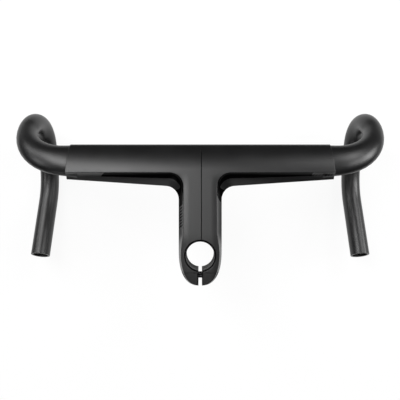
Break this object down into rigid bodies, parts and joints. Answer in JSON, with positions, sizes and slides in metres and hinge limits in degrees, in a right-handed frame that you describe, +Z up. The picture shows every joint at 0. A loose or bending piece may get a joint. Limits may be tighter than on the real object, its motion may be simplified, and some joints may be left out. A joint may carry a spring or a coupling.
{
  "type": "integrated handlebar stem",
  "caption": "One-piece moulded carbon road handlebar and stem with compact drops and a split steerer clamp.",
  "frame": {"origin": "on the steerer bore's axis at the clamp's lower face", "axes": "+Z up along the steerer bore, +Y forward along the stem, +X towards the rider's right"},
  "size_m": [0.4406, 0.2061, 0.1432],
  "materials": {
    "moulded_carbon": "matte",
    "bolt_steel": "satin",
    "black_alloy": "satin"
  },
  "bodies": {
    "root": {"cockpit_body": "moulded_carbon", "upper_clamp_bolt": "bolt_steel", "lower_clamp_bolt": "bolt_steel", "upper_clamp_nut": "black_alloy", "lower_clamp_nut": "black_alloy", "left_mount_insert": "black_alloy", "right_mount_insert": "black_alloy"}
  },
  "joints": []
}
